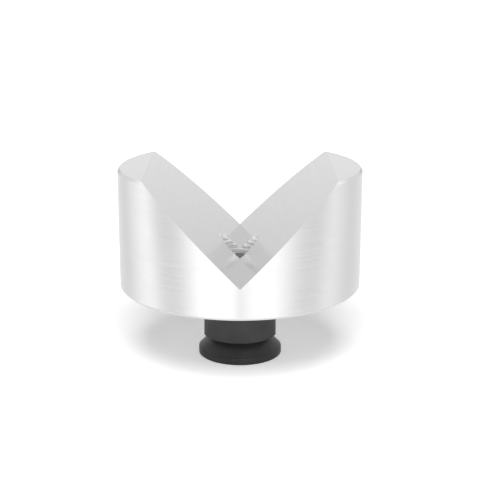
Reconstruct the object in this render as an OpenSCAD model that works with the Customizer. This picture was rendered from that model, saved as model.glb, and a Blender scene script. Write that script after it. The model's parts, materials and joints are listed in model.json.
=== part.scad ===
// Round V block on a screwed-in spigot.
// A short turned cylinder carries a right-angled groove that cradles tube and bar. A one-piece
// steel spigot screws into its underside and drops into a bored table or a clamping socket.
// Units are millimetres. +Z is up, the groove runs along Y, and the origin is the centre of
// the spigot's end face, which the whole thing stands on.

/* [Block] */
// Diameter of the turned block
block_d = 80; // [70:1:100]
// Height of the block
block_h = 40; // [35:1:45]
// Thickness of the floor left under the bottom line of the groove
floor_t = 10; // [8:0.5:15]
// Full angle between the groove's two flanks, degrees
groove_angle = 90; // [60:1:100]
// Width of the 45 degree edge breaks round the top and the bottom
edge_break = 0.8; // [0.3:0.1:1.5]

/* [Spigot] */
// How far the spigot reaches below the block
spigot_reach = 24.5; // [22:0.5:30]
// Diameter of the flange at its foot
flange_d = 28; // [27:0.5:32]
// Height of the flange's cylindrical rim
rim_h = 2.2; // [1.5:0.1:4]
// Diameter at the bottom of the undercut between the flange and the neck
root_d = 19; // [17:0.5:20]
// Diameter of the neck that seats against the block
neck_d = 25.5; // [24.5:0.1:26.5]
// Distance across the two wrench flats on the neck
flats_w = 24; // [21:0.5:24]

/* [Thread] */
// Core diameter of the thread that joins the two pieces
core_d = 12.4; // [11.8:0.1:13]
// Diameter of the relief turned where the stud meets the neck
relief_d = 11.6; // [10.5:0.1:11.7]
// Length of that relief
relief_l = 1.6; // [1:0.1:2]
// How far the stud's end stops short of the bottom line of the groove
stud_setback = 1.5; // [0.5:0.1:2.5]
// Width of the chamfer on the stud's end
stud_chamfer = 0.8; // [0.3:0.1:1]
// Width of the countersink where the stud enters the block
entry_chamfer = 1.2; // [0.5:0.1:1.5]

/* [Hidden] */
$fn = 180;

// Straight stretch at the bottom of the undercut
root_land = 0.3;
// Small breaks on the spigot's own edges
rim_break = 0.2;
neck_break = 0.4;
// How far a cutting shape runs past the face it opens
overcut = 1;

block_r = block_d / 2;
flange_r = flange_d / 2;
root_r = root_d / 2;
neck_r = neck_d / 2;
core_r = core_d / 2;
relief_r = relief_d / 2;

// Heights above the foot. The undercut's lower side is a 45 degree cone.
undercut_z = rim_h + flange_r - root_r;
neck_foot_z = undercut_z + root_land;
seat_z = spigot_reach;
groove_z = seat_z + floor_t;
top_z = seat_z + block_h;
stud_end_z = groove_z - stud_setback;

// The blank: a cylinder with a 45 degree break round each end
module turned_blank() {
    rotate_extrude()
        polygon([
            [0, seat_z],
            [block_r - edge_break, seat_z],
            [block_r, seat_z + edge_break],
            [block_r, top_z - edge_break],
            [block_r - edge_break, top_z],
            [0, top_z]
        ]);
}

// The groove, milled straight across the blank and open at both ends
module groove_cut() {
    cut_h = top_z + overcut - groove_z;
    cut_half_w = cut_h * tan(groove_angle / 2);
    translate([0, block_r + overcut, groove_z])
        rotate([90, 0, 0])
            linear_extrude(height = block_d + 2 * overcut)
                polygon([[0, 0], [cut_half_w, cut_h], [-cut_half_w, cut_h]]);
}

// The tapped hole, from the groove down through the floor, with its lead-in countersink
module tapped_hole_cut() {
    translate([0, 0, seat_z - overcut])
        cylinder(d = core_d, h = block_h + 2 * overcut);
    // A 45 degree cone that is entry_chamfer wider than the hole where it meets the underside
    translate([0, 0, seat_z - overcut])
        cylinder(r1 = core_r + entry_chamfer + overcut, r2 = core_r - overcut,
                 h = entry_chamfer + 2 * overcut);
}

// The block: one turned and milled piece of bright aluminium
module v_block() {
    color("gainsboro")
        difference() {
            turned_blank();
            groove_cut();
            tapped_hole_cut();
        }
}

// The spigot's turned outline, from its foot up to the end of its stud
module spigot_profile() {
    polygon([
        [0, 0],
        [flange_r - rim_break, 0],
        [flange_r, rim_break],
        [flange_r, rim_h],
        [root_r, undercut_z],
        [root_r, neck_foot_z],
        [neck_r - neck_break, neck_foot_z],
        [neck_r, neck_foot_z + neck_break],
        [neck_r, seat_z],
        [relief_r, seat_z],
        [relief_r, seat_z + relief_l],
        [core_r, seat_z + relief_l + core_r - relief_r],
        [core_r, stud_end_z - stud_chamfer],
        [core_r - stud_chamfer, stud_end_z],
        [0, stud_end_z]
    ]);
}

// What is milled off the neck to leave a wrench flat, on the side given by its sign.
// It starts level with the undercut and runs past the seat, so it takes the neck's full length.
module wrench_flat_cut(side) {
    cut_h = seat_z + overcut - undercut_z;
    translate([side * (flats_w + neck_d) / 2, 0, undercut_z + cut_h / 2])
        cube([neck_d, neck_d, cut_h], center = true);
}

// The spigot: foot flange, undercut, neck and threaded stud, turned as one piece of black steel
module spigot() {
    color("dimgray")
        difference() {
            rotate_extrude()
                spigot_profile();
            for (side = [-1, 1])
                wrench_flat_cut(side);
        }
}

v_block();
spigot();
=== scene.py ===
import json
import math

import bmesh
import bpy
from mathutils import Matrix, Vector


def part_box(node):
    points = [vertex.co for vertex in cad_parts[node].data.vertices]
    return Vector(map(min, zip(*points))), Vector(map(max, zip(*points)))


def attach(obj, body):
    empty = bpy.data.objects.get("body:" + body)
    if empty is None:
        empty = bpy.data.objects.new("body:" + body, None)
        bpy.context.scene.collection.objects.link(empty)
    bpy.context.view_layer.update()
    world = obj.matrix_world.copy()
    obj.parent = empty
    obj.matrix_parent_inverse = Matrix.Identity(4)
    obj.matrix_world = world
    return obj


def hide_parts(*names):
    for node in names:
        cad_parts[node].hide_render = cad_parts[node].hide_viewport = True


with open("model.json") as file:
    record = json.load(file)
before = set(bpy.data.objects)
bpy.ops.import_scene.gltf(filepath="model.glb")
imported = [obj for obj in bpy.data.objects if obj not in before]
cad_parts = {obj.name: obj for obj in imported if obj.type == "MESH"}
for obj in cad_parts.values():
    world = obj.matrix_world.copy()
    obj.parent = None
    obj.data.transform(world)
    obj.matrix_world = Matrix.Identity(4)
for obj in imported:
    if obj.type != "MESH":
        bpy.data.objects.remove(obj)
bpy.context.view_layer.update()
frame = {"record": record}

mm = 0.001

# A colour Mix node's two colour sockets and its colour result, by number
firstColour, secondColour, mixedColour = 6, 7, 2
# A noise texture's values nearly all lie between these
noiseLow, noiseHigh = 0.3, 0.7
# Points closer than this are joined, in a swept surface and in a finished mesh
sweptWeld, meshWeld = 0.002 * mm, 0.001 * mm
# Radius of the circle that a turned outline is swept round, which the result doesn't depend on
pathRadius = 10 * mm
# How far a cutting shape runs past the face that it opens
overcut = 2 * mm


def hexColour(code):
    # An sRGB hex code as the linear colour a shader wants
    channels = [int(code[i:i + 2], 16) / 255 for i in (1, 3, 5)]
    linear = [c / 12.92 if c <= 0.04045 else ((c + 0.055) / 1.055) ** 2.4 for c in channels]
    return (*linear, 1.0)


def grey(level):
    return (level, level, level, 1)


def addNode(tree, kind, settings=None, inputs=None):
    # Adds one node. An input is either a plain value or another node's output socket.
    node = tree.nodes.new(kind)
    for name, value in (settings or {}).items():
        setattr(node, name, value)
    for name, value in (inputs or {}).items():
        if isinstance(value, bpy.types.NodeSocket):
            tree.links.new(value, node.inputs[name])
        else:
            node.inputs[name].default_value = value
    return node


def link(piece):
    bpy.context.scene.collection.objects.link(piece)
    return piece


def newShapeTree(name, inputs):
    # A Geometry Nodes group with a geometry in, named sizes in and a geometry out
    tree = bpy.data.node_groups.new(name, "GeometryNodeTree")
    tree.interface.new_socket("Geometry", in_out="INPUT", socket_type="NodeSocketGeometry")
    for label, kind in inputs.items():
        tree.interface.new_socket(label, in_out="INPUT", socket_type="NodeSocket" + kind)
    tree.interface.new_socket("Geometry", in_out="OUTPUT", socket_type="NodeSocketGeometry")
    return tree, addNode(tree, "NodeGroupInput"), addNode(tree, "NodeGroupOutput")


def profileCurve(name, points, closed=False):
    # A flat outline of straight stretches: x is the distance from the axis, y the height
    curve = bpy.data.curves.new(name, "CURVE")
    curve.dimensions = "3D"
    spline = curve.splines.new("POLY")
    spline.points.add(len(points) - 1)
    for point, (across, up) in zip(spline.points, points):
        point.co = (across, up, 0, 1)
    spline.use_cyclic_u = closed
    return link(bpy.data.objects.new(name, curve))


def plainMesh(source):
    # The object as its modifiers leave it, as a mesh with no modifiers
    graph = bpy.context.evaluated_depsgraph_get()
    mesh = bpy.data.meshes.new_from_object(source.evaluated_get(graph), depsgraph=graph)
    name = source.name
    bpy.data.objects.remove(source)
    return link(bpy.data.objects.new(name, mesh))


def runTree(source, tree, values):
    # Runs a shape tree on an object and keeps its result
    modifier = source.modifiers.new("shape", "NODES")
    modifier.node_group = tree
    for item in tree.interface.items_tree:
        if item.in_out == "INPUT" and item.name in values:
            modifier[item.identifier] = values[item.name]
    return plainMesh(source)


def cutAway(body, cutter):
    # Takes the cutter's shape out of the body and throws the cutter away
    modifier = body.modifiers.new("cut", "BOOLEAN")
    modifier.operation = "DIFFERENCE"
    modifier.solver = "EXACT"
    modifier.material_mode = "TRANSFER"  # the cut faces keep the cutter's finish
    modifier.object = cutter
    result = plainMesh(body)
    bpy.data.objects.remove(cutter)
    return result


def outwards(piece):
    # Merges doubled points and turns every face out of the metal
    work = bmesh.new()
    work.from_mesh(piece.data)
    bmesh.ops.remove_doubles(work, verts=work.verts, dist=meshWeld)
    bmesh.ops.recalc_face_normals(work, faces=work.faces)
    if work.calc_volume(signed=True) < 0:
        bmesh.ops.reverse_faces(work, faces=work.faces)
    work.to_mesh(piece.data)
    work.free()


def makeTurnTree():
    # Turns an outline round the Z axis, as a lathe would leave it
    tree, given, result = newShapeTree("turnTree", {
        "Facets": "Int", "Path Radius": "Float", "Material": "Material"})
    inward = addNode(tree, "ShaderNodeMath", {"operation": "MULTIPLY"}, {
        0: given.outputs["Path Radius"], 1: -1.0})
    shift = addNode(tree, "ShaderNodeCombineXYZ", {}, {"X": inward.outputs[0]})
    # The sweep takes the outline's y as downwards, so it is flipped first
    outline = addNode(tree, "GeometryNodeTransform", {}, {
        "Geometry": given.outputs["Geometry"], "Translation": shift.outputs[0],
        "Scale": (1, -1, 1)})
    path = addNode(tree, "GeometryNodeCurvePrimitiveCircle", {}, {
        "Resolution": given.outputs["Facets"], "Radius": given.outputs["Path Radius"]})
    swept = addNode(tree, "GeometryNodeCurveToMesh", {}, {
        "Curve": path.outputs["Curve"], "Profile Curve": outline.outputs[0]})
    merged = addNode(tree, "GeometryNodeMergeByDistance", {}, {
        "Geometry": swept.outputs[0], "Distance": sweptWeld})
    real = addNode(tree, "GeometryNodeRealizeInstances", {}, {"Geometry": merged.outputs[0]})
    painted = addNode(tree, "GeometryNodeSetMaterial", {}, {
        "Geometry": real.outputs[0], "Material": given.outputs["Material"]})
    tree.links.new(painted.outputs[0], result.inputs[0])
    return tree


def makeHelixTree():
    # Sweeps a thread's section up a right-handed helix
    tree, given, result = newShapeTree("helixTree", {
        "Radius": "Float", "Pitch": "Float", "Turns": "Float", "Start": "Float",
        "Facets": "Int", "Material": "Material"})
    rise = addNode(tree, "ShaderNodeMath", {"operation": "MULTIPLY"}, {
        0: given.outputs["Pitch"], 1: given.outputs["Turns"]})
    helix = addNode(tree, "GeometryNodeCurveSpiral", {}, {
        "Resolution": given.outputs["Facets"], "Rotations": given.outputs["Turns"],
        "Start Radius": given.outputs["Radius"], "End Radius": given.outputs["Radius"],
        "Height": rise.outputs[0], "Reverse": True})
    upright = addNode(tree, "GeometryNodeSetCurveNormal", {"mode": "Z_UP"}, {
        "Curve": helix.outputs[0]})
    swept = addNode(tree, "GeometryNodeCurveToMesh", {}, {
        "Curve": upright.outputs[0], "Profile Curve": given.outputs["Geometry"],
        "Fill Caps": True})
    lift = addNode(tree, "ShaderNodeCombineXYZ", {}, {"Z": given.outputs["Start"]})
    placed = addNode(tree, "GeometryNodeTransform", {}, {
        "Geometry": swept.outputs[0], "Translation": lift.outputs[0]})
    real = addNode(tree, "GeometryNodeRealizeInstances", {}, {"Geometry": placed.outputs[0]})
    painted = addNode(tree, "GeometryNodeSetMaterial", {}, {
        "Geometry": real.outputs[0], "Material": given.outputs["Material"]})
    tree.links.new(painted.outputs[0], result.inputs[0])
    return tree


turnTree = makeTurnTree()
helixTree = makeHelixTree()


def turned(name, points, facets, material):
    piece = runTree(profileCurve(name, points), turnTree, {
        "Facets": facets, "Path Radius": pathRadius, "Material": material})
    outwards(piece)
    return piece


def bar(name, section, along, material):
    # A straight bar along Y between two places, its section given as (x, z) points
    count = len(section)
    corners = [(x, y, z) for y in along for x, z in section]
    sides = [(i, (i + 1) % count, count + (i + 1) % count, count + i) for i in range(count)]
    ends = [tuple(range(count)), tuple(range(2 * count - 1, count - 1, -1))]
    mesh = bpy.data.meshes.new(name)
    mesh.from_pydata(corners, [], sides + ends)
    mesh.materials.append(material)
    piece = link(bpy.data.objects.new(name, mesh))
    outwards(piece)
    return piece


camera = {
    "elevation": 15.14,
    "distance": 367.96 * mm,
    "lens": 82.77,
    "aimHeight": 39.2 * mm,
    "clipStart": 10 * mm,
}


def placeCamera():
    data = bpy.data.cameras.new("camera")
    data.lens = camera["lens"]
    data.clip_start = camera["clipStart"]
    eye = link(bpy.data.objects.new("camera", data))
    tilt = math.radians(camera["elevation"])
    eye.location = (0, -camera["distance"] * math.cos(tilt),
                    camera["aimHeight"] + camera["distance"] * math.sin(tilt))
    eye.rotation_euler = (math.pi / 2 - tilt, 0, 0)
    bpy.context.scene.camera = eye


placeCamera()
print("camera placed")


def newMaterial(name):
    # A material with its Principled shader and an Object coordinate to read
    material = bpy.data.materials.new(name)
    material.use_nodes = True
    tree = material.node_tree
    shader = tree.nodes["Principled BSDF"]
    place = addNode(tree, "ShaderNodeTexCoord").outputs["Object"]
    return material, tree, shader, place


def ringPlace(tree, place, face):
    # A noise coordinate that is constant along each ring a lathe tool cuts, on walls and end faces
    # alike, apart from a slow change over the face's run that breaks the lines up
    apart = addNode(tree, "ShaderNodeSeparateXYZ", {}, {0: place})
    flat = addNode(tree, "ShaderNodeCombineXYZ", {}, {
        "X": apart.outputs["X"], "Y": apart.outputs["Y"]})
    radius = addNode(tree, "ShaderNodeVectorMath", {"operation": "LENGTH"}, {0: flat.outputs[0]})
    across = addNode(tree, "ShaderNodeMath", {}, {
        0: apart.outputs["Z"], 1: radius.outputs["Value"]})
    both = addNode(tree, "ShaderNodeCombineXYZ", {}, {
        "X": apart.outputs["X"], "Y": apart.outputs["Y"], "Z": across.outputs[0]})
    return addNode(tree, "ShaderNodeVectorMath", {"operation": "MULTIPLY"}, {
        0: both.outputs[0], 1: (1 / face["run"], 1 / face["run"], 1 / face["mark"])}).outputs[0]


def addMarks(tree, shader, marksPlace, face):
    # The marks that a tool leaves. They drive the gloss and the height, and are returned.
    marks = addNode(tree, "ShaderNodeTexNoise", {}, {
        "Vector": marksPlace, "Scale": 1.0, "Detail": face["detail"],
        "Roughness": face["fine"]}).outputs["Fac"]
    smooth, rough = face["roughness"]
    gloss = addNode(tree, "ShaderNodeMapRange", {}, {
        "Value": marks, "From Min": noiseLow, "From Max": noiseHigh,
        "To Min": smooth, "To Max": rough})
    tree.links.new(gloss.outputs[0], shader.inputs["Roughness"])
    bump = addNode(tree, "ShaderNodeBump", {}, {"Height": marks, "Distance": face["depth"]})
    tree.links.new(bump.outputs[0], shader.inputs["Normal"])
    return marks


def addTone(tree, shader, share, face):
    # A base colour between the face's two tones
    tone = addNode(tree, "ShaderNodeMix", {"data_type": "RGBA"}, {
        0: share, firstColour: hexColour(face["dull"]), secondColour: hexColour(face["pale"])})
    tree.links.new(tone.outputs[mixedColour], shader.inputs["Base Color"])


# Each finish below gives two tones and a range of roughness, then its marks: how wide they are and
# how far they run, how deep they look, and the noise's detail and how strong its finest part is

turnedFace = {
    "dull": "#E3E3E3",
    "pale": "#E9E9E9",
    "roughness": (0.15, 0.24),
    "mark": 0.55 * mm,
    "run": 90 * mm,
    "depth": 0.0011 * mm,
    "detail": 3.0,
    "fine": 0.6,
    "stretch": 0.85,
    "stretchTurn": 0.25,
}


def turnedAluminium():
    # Aluminium bar, skimmed on a lathe: fine rings round the axis stretch highlights up and down.
    # Real feed marks are about 0.1 mm apart, too fine to show, so they are drawn coarser.
    material, tree, shader, place = newMaterial("turnedAluminium")
    marks = addMarks(tree, shader, ringPlace(tree, place, turnedFace), turnedFace)
    addTone(tree, shader, marks, turnedFace)
    shader.inputs["Metallic"].default_value = 1
    shader.inputs["Anisotropic"].default_value = turnedFace["stretch"]
    shader.inputs["Anisotropic Rotation"].default_value = turnedFace["stretchTurn"]
    around = addNode(tree, "ShaderNodeTangent", {"direction_type": "RADIAL", "axis": "Z"})
    tree.links.new(around.outputs[0], shader.inputs["Tangent"])
    return material


milledFace = {
    "dull": "#DCDCDC",
    "pale": "#E0E0E0",
    "roughness": (0.21, 0.26),
    "mark": 0.9 * mm,
    "run": 150 * mm,
    "depth": 0.0003 * mm,
    "detail": 2.0,
    "fine": 0.5,
}


def milledAluminium():
    # The same bar where a cutter has finished the groove's flanks along their length: no rings,
    # only faint straight marks that run with the groove, drawn coarser than the real 0.1 mm
    material, tree, shader, place = newMaterial("milledAluminium")
    wide, long = 1 / milledFace["mark"], 1 / milledFace["run"]
    along = addNode(tree, "ShaderNodeVectorMath", {"operation": "MULTIPLY"}, {
        0: place, 1: (wide, long, wide)})
    marks = addMarks(tree, shader, along.outputs[0], milledFace)
    addTone(tree, shader, marks, milledFace)
    shader.inputs["Metallic"].default_value = 1
    return material


tappedFace = {
    "dull": "#E4E4E4",
    "pale": "#EDEDED",
    "roughness": (0.40, 0.50),
    "mark": 0.35 * mm,
    "run": 4 * mm,
    "depth": 0.004 * mm,
    "detail": 2.0,
    "fine": 0.6,
}


def tappedAluminium():
    # The same bar on the thread's flanks, as a tap leaves them: slightly torn, so it looks duller
    # and grainier than the milled faces
    material, tree, shader, place = newMaterial("tappedAluminium")
    marks = addMarks(tree, shader, ringPlace(tree, place, tappedFace), tappedFace)
    addTone(tree, shader, marks, tappedFace)
    shader.inputs["Metallic"].default_value = 1
    return material


oxideFace = {
    "dull": "#434343",
    "pale": "#4D4D4D",
    "roughness": (0.30, 0.42),
    "mark": 0.5 * mm,
    "run": 20 * mm,
    "depth": 0.004 * mm,
    "detail": 3.0,
    "fine": 0.6,
    "patch": 9 * mm,
    "patchDetail": 2.0,
    "metallic": 0.1,
    "ior": 1.3,
}


def blackOxideSteel():
    # Turned steel with a hot black oxide finish and a light oil: near black, satin, with the
    # lathe's rings still showing and a slightly paler, rubbed look in patches. Light meets the oxide
    # and its oil before the steel, so it is hardly metallic.
    material, tree, shader, place = newMaterial("blackOxideSteel")
    addMarks(tree, shader, ringPlace(tree, place, oxideFace), oxideFace)
    patches = addNode(tree, "ShaderNodeTexNoise", {}, {
        "Vector": place, "Scale": 1 / oxideFace["patch"], "Detail": oxideFace["patchDetail"]})
    rubbed = addNode(tree, "ShaderNodeMapRange", {}, {
        "Value": patches.outputs["Fac"], "From Min": noiseLow, "From Max": noiseHigh})
    addTone(tree, shader, rubbed.outputs[0], oxideFace)
    shader.inputs["Metallic"].default_value = oxideFace["metallic"]
    shader.inputs["IOR"].default_value = oxideFace["ior"]
    return material


turnedFinish = turnedAluminium()
milledFinish = milledAluminium()
tappedFinish = tappedAluminium()
oxideFinish = blackOxideSteel()
print("finishes made")

# An M14 x 1.5 thread. The core of the tapped hole is near the top of its tolerance.
thread = {
    "major": 14.0 * mm,
    "core": 12.65 * mm,
    "pitch": 1.5 * mm,
    "flankAngle": 30,
    "rootShare": 1 / 8,  # of the pitch, flat at the bottom of the thread space
    "crestHalf": 0.06 * mm,
    "crestSteps": 4,
    "facets": 72,
    "skin": 0.1 * mm,
    "overlap": 0.01 * mm,  # how far outside the metal the helix itself runs
}


def threadCutter(name, surface, depth, start, end, material):
    # One thread space swept up a helix. Depth is outwards from the surface it cuts, or inwards
    # when negative, and skin is how far the section stands out of that surface.
    pitch = thread["pitch"]
    side = math.copysign(1, depth)
    rootHalf = pitch * thread["rootShare"] / 2
    mouthHalf = pitch / 2 - thread["crestHalf"]
    # Half the section from root to mouth: a straight flank, then a curve that rounds the crest
    slope = math.tan(math.radians(thread["flankAngle"]))
    bend = 2 * (mouthHalf - rootHalf - abs(depth) * slope)
    half = [(abs(depth), rootHalf)]
    for step in range(thread["crestSteps"] + 1):
        left = 1 - step / thread["crestSteps"]
        half.append((bend * left ** 2 / (2 * slope), mouthHalf - bend * left))
    half.append((-thread["skin"], mouthHalf))
    section = [(side * out, -along) for out, along in reversed(half)]
    section += [(side * out, along) for out, along in half]
    cutter = runTree(profileCurve(name, section, closed=True), helixTree, {
        "Radius": surface - side * thread["overlap"], "Pitch": pitch, "Start": start,
        "Turns": (end - start) / pitch, "Facets": thread["facets"], "Material": material})
    outwards(cutter)
    return cutter


# Edges sharper than this stay crisp, in degrees. A face counts as one of the flat ones when the
# parts of its normal are this near to theirs, and nearer still for a wrench flat, so that next to
# nothing of the turned faces is taken for one.
shading = {"sharpest": 30, "near": 0.001, "flatNear": 0.0001}


def shade(piece):
    # Turned faces shade smooth. The milled and faced planes stay flat.
    piece.data.set_sharp_from_angle(angle=math.radians(shading["sharpest"]))
    near = shading["near"]
    for polygon in piece.data.polygons:
        normal = polygon.normal
        level = abs(normal.z) > 1 - near
        groove = abs(normal.y) < near and abs(abs(normal.z) - math.sqrt(0.5)) < near
        wrenchFlat = abs(normal.x) > 1 - shading["flatNear"]
        polygon.use_smooth = not (level or groove or wrenchFlat)


# The groove's bottom line, from a point on one of its 45 degree flanks
flankPoint = next(m["pos_m"] for m in frame["record"]["mounts"] if m["name"] == "right_flank")
grooveZ = flankPoint[2] - abs(flankPoint[0])
blockLow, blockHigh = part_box("v_block")
tapStart = blockLow[2] - overcut

block = {
    "facets": 384,
    "edgeBreak": 0.8 * mm,
    "arris": 0.15 * mm,
    "countersink": 1.2 * mm,
    "holeAbove": 3 * mm,  # past the height where the hole's walls leave the flanks
}


def makeBlock():
    radius, underside, top = blockHigh[0], blockLow[2], blockHigh[2]
    edge = block["edgeBreak"]
    piece = turned("block", [
        (0, underside), (radius - edge, underside), (radius, underside + edge),
        (radius, top - edge), (radius - edge, top), (0, top)], block["facets"], turnedFinish)

    core, entry = thread["core"] / 2, block["countersink"]
    above = grooveZ + core + block["holeAbove"]
    hole = turned("hole", [
        (0, underside - overcut), (core + entry, underside - overcut), (core + entry, underside),
        (core, underside + entry), (core, above), (0, above)], thread["facets"], tappedFinish)
    piece = cutAway(piece, hole)
    tap = threadCutter("tap", core, thread["major"] / 2 - core,
                       tapStart, above - thread["pitch"], tappedFinish)
    piece = cutAway(piece, tap)

    # The groove, with the arris along its two mouth edges taken off
    half = top - grooveZ
    arris = block["arris"]
    mouth = (half - arris * math.sqrt(0.5), top - arris * math.sqrt(0.5))
    section = [(0, grooveZ), mouth, (half + arris, top), (half + arris, top + overcut)]
    section += [(-x, z) for x, z in reversed(section[1:])]
    groove = bar("groove", section, (-radius - overcut, radius + overcut), milledFinish)
    piece = cutAway(piece, groove)
    piece.name = "block"
    shade(piece)
    return piece


blockPiece = makeBlock()
print("block made:", len(blockPiece.data.polygons), "faces")
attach(blockPiece, "root")
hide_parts("v_block")

spigot = {
    "facets": 256,
    "rimHeight": 2.2 * mm,
    "rootRadius": 9.5 * mm,
    "rootLand": 0.3 * mm,
    "neckRadius": 12.75 * mm,
    "flatsWidth": 24.0 * mm,
    "rimBreak": 0.2 * mm,
    "neckBreak": 0.4 * mm,
    "studSetback": 1.5 * mm,
    "studBreak": 0.9 * mm,
    "reliefRadius": 5.8 * mm,
    "reliefLength": 1.6 * mm,
    "threadSlack": 0.05 * mm,
    "threadDepth": 0.65,  # of the pitch
    "threadLead": 2.5,  # pitches that the stud's thread starts above the hole's
}


def makeSpigot():
    flange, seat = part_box("spigot")[1][0], blockLow[2]
    studEnd = grooveZ - spigot["studSetback"]
    root, neck, relief = spigot["rootRadius"], spigot["neckRadius"], spigot["reliefRadius"]
    rim, broken = spigot["rimBreak"], spigot["neckBreak"]
    undercut = spigot["rimHeight"] + flange - root  # the cone above the rim is at 45 degrees
    neckFoot = undercut + spigot["rootLand"]
    reliefTop = seat + spigot["reliefLength"]
    stud = thread["major"] / 2 - spigot["threadSlack"]
    piece = turned("spigot", [
        (0, 0), (flange - rim, 0), (flange, rim), (flange, spigot["rimHeight"]),
        (root, undercut), (root, neckFoot), (neck - broken, neckFoot), (neck, neckFoot + broken),
        (neck, seat), (relief, seat), (relief, reliefTop), (stud, reliefTop + stud - relief),
        (stud, studEnd - spigot["studBreak"]), (stud - spigot["studBreak"], studEnd), (0, studEnd)],
        spigot["facets"], oxideFinish)
    for side in (-1, 1):
        near, far = side * spigot["flatsWidth"] / 2, side * 2 * neck
        section = [(near, undercut), (far, undercut), (far, seat + overcut), (near, seat + overcut)]
        piece = cutAway(piece, bar("flat", section, (-2 * neck, 2 * neck), oxideFinish))
    # The stud's grooves lie half a pitch from the hole's, so that the two threads mesh
    die = threadCutter("die", stud, -spigot["threadDepth"] * thread["pitch"],
                       tapStart + spigot["threadLead"] * thread["pitch"], studEnd + overcut,
                       oxideFinish)
    piece = cutAway(piece, die)
    piece.name = "spigotPiece"
    shade(piece)
    return piece


spigotPiece = makeSpigot()
print("spigot made:", len(spigotPiece.data.polygons), "faces")
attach(spigotPiece, "root")
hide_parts("spigot")

# What mirror images in the metal show. Angles are in degrees clockwise from the camera, and a pair
# of heights, in degrees, is where a layer takes over from the one below it.
walls = {
    # Low down: plain walls with four soft-edged lights, each given as where it begins, is full from,
    # is full to and ends, and its level. The two windows in front meet in the camera's gap, and a
    # strip light stands at each side. All of them lean: lower down they are nearer the front.
    "wall": 0.8,
    "behind": 0.9,
    "cameraGap": 1.1,
    "leftStrip": ((-130, -92, -90, -80), 1.3),
    "leftWindow": ((-60, -40, -10, 0), 1.4),
    "rightWindow": ((0, 15, 35, 60), 1.35),
    "rightStrip": ((80, 88, 90, 120), 1.1),
    "lean": math.radians(91),
    "leanLevel": (-0.28, -0.15),  # the ray's rise where they stand as listed, and where leaning ends
    # At eye level and just above it: an even front where frontHalf is 1, with the camera's gap in
    # it, and the back's own levels where it is 0. A half goes from front to back on both sides.
    "frontHalf": [(0, 0.3), (8, 1), (52, 1), (75, 0)],
    "frontLevel": 1.1,
    "backFrom": (-9.5, -3),
    "backHalf": [(150, 0.7), (158, 0.6), (175, 1.1), (180, 1.1)],
    "backHighFrom": (6, 12),
    "backHigh": 0.825,
    "highFrom": (24, 34),
    "highHalf": [(0, 1.1), (8, 1.25), (50, 1.25), (60, 0.9), (92, 0.9), (106, 1.5), (116, 1.2),
                 (134, 1.1), (152, 0.5), (165, 1.1), (180, 1.1)],
    # Light on its second mirroring finds this level high in front, as if it met the softbox
    "deepLevel": 6.0,
    "deepMirrorings": (1.0, 2.0),
    "topFrom": (60, 72),
    "topLevel": 1.1,
    # What dull surfaces get of all this. The softbox lights them instead.
    "diffuseShare": 0.01,
}


def bothSides(half):
    # A ring that is the same on the left as on the right
    return sorted({(side * degrees, level) for side in (-1, 1) for degrees, level in half})


def lowRing():
    # The plain walls and the four lights on them. An edge straight in front is the camera's gap.
    ring = {(-180, walls["behind"]), (180, walls["behind"])}
    for name in ("leftStrip", "leftWindow", "rightWindow", "rightStrip"):
        (start, fullFrom, fullTo, end), level = walls[name]
        ring |= {(fullFrom, level), (fullTo, level)}
        ring |= {(edge, walls["wall"] if edge else walls["cameraGap"]) for edge in (start, end)}
    return sorted(ring)


def setLevels(ramp, ring):
    # Gives a colour ramp that spans the whole turn a ring's levels
    elements = ramp.color_ramp.elements
    while len(elements) < len(ring):
        elements.new(0.5)
    for element, (degrees, level) in zip(elements, ring):
        element.position = (degrees + 180) / 360
        element.color = grey(level)
    return ramp.outputs["Color"]


def leaningTurn(tree, azimuth, up):
    # The share of a turn at which a leaning light stands: lower down it is nearer the front
    middle, ceiling = walls["leanLevel"]
    capped = addNode(tree, "ShaderNodeMath", {"operation": "MINIMUM"}, {0: up, 1: ceiling})
    drop = addNode(tree, "ShaderNodeMath", {"operation": "SUBTRACT"}, {
        0: capped.outputs[0], 1: middle})
    leant = addNode(tree, "ShaderNodeMath", {"operation": "MULTIPLY"}, {
        0: drop.outputs[0], 1: walls["lean"]})
    sideways = addNode(tree, "ShaderNodeMath", {"operation": "SINE"}, {0: azimuth})
    turn = addNode(tree, "ShaderNodeMath", {"operation": "MULTIPLY"}, {
        0: leant.outputs[0], 1: sideways.outputs[0]})
    place = addNode(tree, "ShaderNodeMath", {"operation": "SUBTRACT"}, {
        0: azimuth, 1: turn.outputs[0]})
    return addNode(tree, "ShaderNodeMapRange", {}, {
        "Value": place.outputs[0], "From Min": -math.pi, "From Max": math.pi}).outputs[0]


def highLayer(tree, ringShare, front, glossyDepth):
    # The high ring, with its brighter patch in front for light that metal has mirrored twice
    start, full = walls["deepMirrorings"]
    deep = addNode(tree, "ShaderNodeMapRange", {}, {
        "Value": glossyDepth, "From Min": start, "From Max": full})
    share = addNode(tree, "ShaderNodeMath", {"operation": "MULTIPLY"}, {
        0: front, 1: deep.outputs[0]})
    ramp = addNode(tree, "ShaderNodeValToRGB", {}, {"Fac": ringShare})
    high = addNode(tree, "ShaderNodeMix", {"data_type": "RGBA"}, {
        0: share.outputs[0], firstColour: setLevels(ramp, bothSides(walls["highHalf"])),
        secondColour: grey(walls["deepLevel"])})
    return high.outputs[mixedColour]


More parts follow.
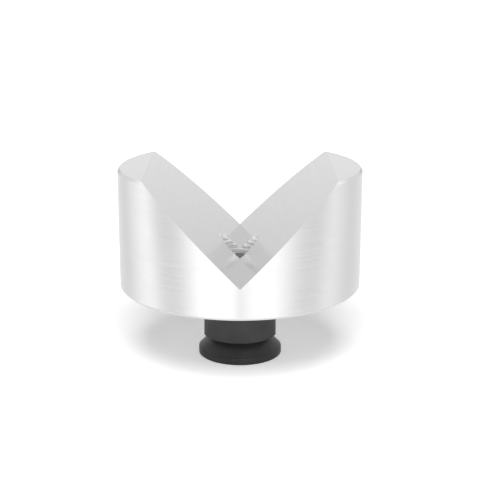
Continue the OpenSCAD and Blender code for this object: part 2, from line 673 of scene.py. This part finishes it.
def wallLevels(tree, ray, glossyDepth):
    # The level that a mirror image shows along a ray, built up from the lowest layer
    xyz = addNode(tree, "ShaderNodeSeparateXYZ", {}, {0: ray})
    up = xyz.outputs["Z"]
    ahead = addNode(tree, "ShaderNodeMath", {"operation": "MULTIPLY"}, {
        0: xyz.outputs["Y"], 1: -1.0})
    azimuth = addNode(tree, "ShaderNodeMath", {"operation": "ARCTAN2"}, {
        0: xyz.outputs["X"], 1: ahead.outputs[0]}).outputs[0]
    ringShare = addNode(tree, "ShaderNodeMapRange", {}, {
        "Value": azimuth, "From Min": -math.pi, "From Max": math.pi}).outputs[0]
    lowRamp = addNode(tree, "ShaderNodeValToRGB", {}, {"Fac": leaningTurn(tree, azimuth, up)})
    frontRamp = addNode(tree, "ShaderNodeValToRGB", {}, {"Fac": ringShare})
    backRamp = addNode(tree, "ShaderNodeValToRGB", {}, {"Fac": ringShare})
    front = setLevels(frontRamp, bothSides(walls["frontHalf"]))

    layers = []
    for heights, tone in (("backFrom", setLevels(backRamp, bothSides(walls["backHalf"]))),
                          ("backHighFrom", grey(walls["backHigh"]))):
        mixed = addNode(tree, "ShaderNodeMix", {"data_type": "RGBA"}, {
            0: front, firstColour: tone, secondColour: grey(walls["frontLevel"])})
        layers.append((heights, mixed.outputs[mixedColour]))
    layers.append(("highFrom", highLayer(tree, ringShare, front, glossyDepth)))
    layers.append(("topFrom", grey(walls["topLevel"])))

    level = setLevels(lowRamp, lowRing())
    for heights, layer in layers:
        start, full = (math.sin(math.radians(height)) for height in walls[heights])
        rise = addNode(tree, "ShaderNodeMapRange", {"interpolation_type": "SMOOTHSTEP"}, {
            "Value": up, "From Min": start, "From Max": full})
        level = addNode(tree, "ShaderNodeMix", {"data_type": "RGBA"}, {
            0: rise.outputs[0], firstColour: level, secondColour: layer}).outputs[mixedColour]
    return level


def makeWorld():
    # Plain white to the camera, and the walls' levels to mirror images
    world = bpy.data.worlds.new("studio")
    world.use_nodes = True
    bpy.context.scene.world = world
    tree = world.node_tree
    tree.nodes.clear()
    ray = addNode(tree, "ShaderNodeTexCoord").outputs["Generated"]
    path = addNode(tree, "ShaderNodeLightPath")
    dim = addNode(tree, "ShaderNodeMapRange", {}, {
        "Value": path.outputs["Diffuse Depth"], "To Min": 1.0, "To Max": walls["diffuseShare"]})
    light = addNode(tree, "ShaderNodeBackground", {}, {
        "Color": wallLevels(tree, ray, path.outputs["Glossy Depth"]), "Strength": dim.outputs[0]})
    white = addNode(tree, "ShaderNodeBackground", {}, {"Color": grey(1)})
    mix = addNode(tree, "ShaderNodeMixShader", {}, {
        0: path.outputs["Is Camera Ray"], 1: light.outputs[0], 2: white.outputs[0]})
    addNode(tree, "ShaderNodeOutputWorld", {}, {0: mix.outputs[0]})


paper = {
    "colour": "#FAFAFA",
    "half": 3.0,
    # lift is the paper's own glow near the foot: painted light that pales the shadow
    "lift": 0.49,
    "whiteFrom": (150 * mm, 500 * mm),
    "metalSees": (70 * mm, 90 * mm),
    "metalDim": 0.45,
    "firstImage": 1.5,  # glossy depth below which a mirror image is the first
}


def paperGlow(tree, path, away):
    # How much the paper glows of itself: fully far out, where it makes the backdrop white, and
    # partly where the shadow lies, where the glow is painted light that pales the shadow. A first
    # mirror image of it shows less, and light that metal mirrors back onto it carries none.
    bounced = addNode(tree, "ShaderNodeMath", {"operation": "MINIMUM"}, {
        0: path.outputs["Diffuse Depth"], 1: 1.0})
    first = addNode(tree, "ShaderNodeMath", {"operation": "LESS_THAN"}, {
        0: path.outputs["Glossy Depth"], 1: paper["firstImage"]})
    less = addNode(tree, "ShaderNodeMath", {"operation": "MULTIPLY"}, {
        0: first.outputs[0], 1: paper["metalDim"]})
    dimmed = addNode(tree, "ShaderNodeMath", {"operation": "MAXIMUM"}, {
        0: bounced.outputs[0], 1: less.outputs[0]})
    mirrored = addNode(tree, "ShaderNodeMath", {"operation": "MULTIPLY"}, {
        0: path.outputs["Is Glossy Ray"], 1: dimmed.outputs[0]})
    near, far = paper["whiteFrom"]
    rising = addNode(tree, "ShaderNodeMapRange", {"interpolation_type": "SMOOTHSTEP"}, {
        "Value": away, "From Min": near, "From Max": far, "To Min": paper["lift"], "To Max": 1.0})
    return addNode(tree, "ShaderNodeMapRange", {}, {
        "Value": mirrored.outputs[0], "To Min": rising.outputs[0], "To Max": 0.0}).outputs[0]


def paperHidden(tree, path, away):
    # Metal sees the paper near the foot, and further out it sees the studio's walls instead. From
    # below nothing of it shows, so that the underside can be looked at.
    near, far = paper["metalSees"]
    fade = addNode(tree, "ShaderNodeMapRange", {"interpolation_type": "SMOOTHSTEP"}, {
        "Value": away, "From Min": near, "From Max": far})
    faded = addNode(tree, "ShaderNodeMath", {"operation": "MULTIPLY"}, {
        0: path.outputs["Is Glossy Ray"], 1: fade.outputs[0]})
    below = addNode(tree, "ShaderNodeNewGeometry").outputs["Backfacing"]
    return addNode(tree, "ShaderNodeMath", {"operation": "MAXIMUM"}, {
        0: below, 1: faded.outputs[0]}).outputs[0]


def whitePaper():
    # Matt white paper that also glows of itself. Its own glow makes it white where the lamp reaches
    # it and keeps the shadow soft: near the foot that glow is painted light that pales the shadow.
    material = bpy.data.materials.new("paper")
    material.use_nodes = True
    tree = material.node_tree
    tree.nodes.clear()
    path = addNode(tree, "ShaderNodeLightPath")
    place = addNode(tree, "ShaderNodeTexCoord").outputs["Object"]
    away = addNode(tree, "ShaderNodeVectorMath", {"operation": "LENGTH"}, {
        0: place}).outputs["Value"]
    matt = addNode(tree, "ShaderNodeBsdfDiffuse", {}, {"Color": hexColour(paper["colour"])})
    lift = addNode(tree, "ShaderNodeEmission", {}, {
        "Color": grey(1), "Strength": paperGlow(tree, path, away)})
    both = addNode(tree, "ShaderNodeAddShader", {}, {0: matt.outputs[0], 1: lift.outputs[0]})
    clear = addNode(tree, "ShaderNodeBsdfTransparent")
    mix = addNode(tree, "ShaderNodeMixShader", {}, {
        0: paperHidden(tree, path, away), 1: both.outputs[0], 2: clear.outputs[0]})
    addNode(tree, "ShaderNodeOutputMaterial", {}, {0: mix.outputs[0]})
    return material


def makeFloor():
    half = paper["half"]
    corners = [(-half, -half, 0), (half, -half, 0), (half, half, 0), (-half, half, 0)]
    mesh = bpy.data.meshes.new("floor")
    mesh.from_pydata(corners, [], [(0, 1, 2, 3)])
    mesh.materials.append(whitePaper())
    link(bpy.data.objects.new("floor", mesh))


softbox = {"place": (0, -3.85, 5.25), "size": (3.5, 4.2), "radiance": 9.3}


def makeLamp():
    # One large softbox above and in front, facing straight down
    data = bpy.data.lights.new("softbox", "AREA")
    data.shape = "RECTANGLE"
    data.size, data.size_y = softbox["size"]
    data.energy = softbox["radiance"] * math.pi * data.size * data.size_y
    lamp = link(bpy.data.objects.new("softbox", data))
    lamp.location = softbox["place"]
    lamp.visible_glossy = False  # the world's own levels stand for it in mirror images


makeWorld()
makeFloor()
makeLamp()
bpy.context.scene.view_settings.view_transform = "Standard"
print("studio made")
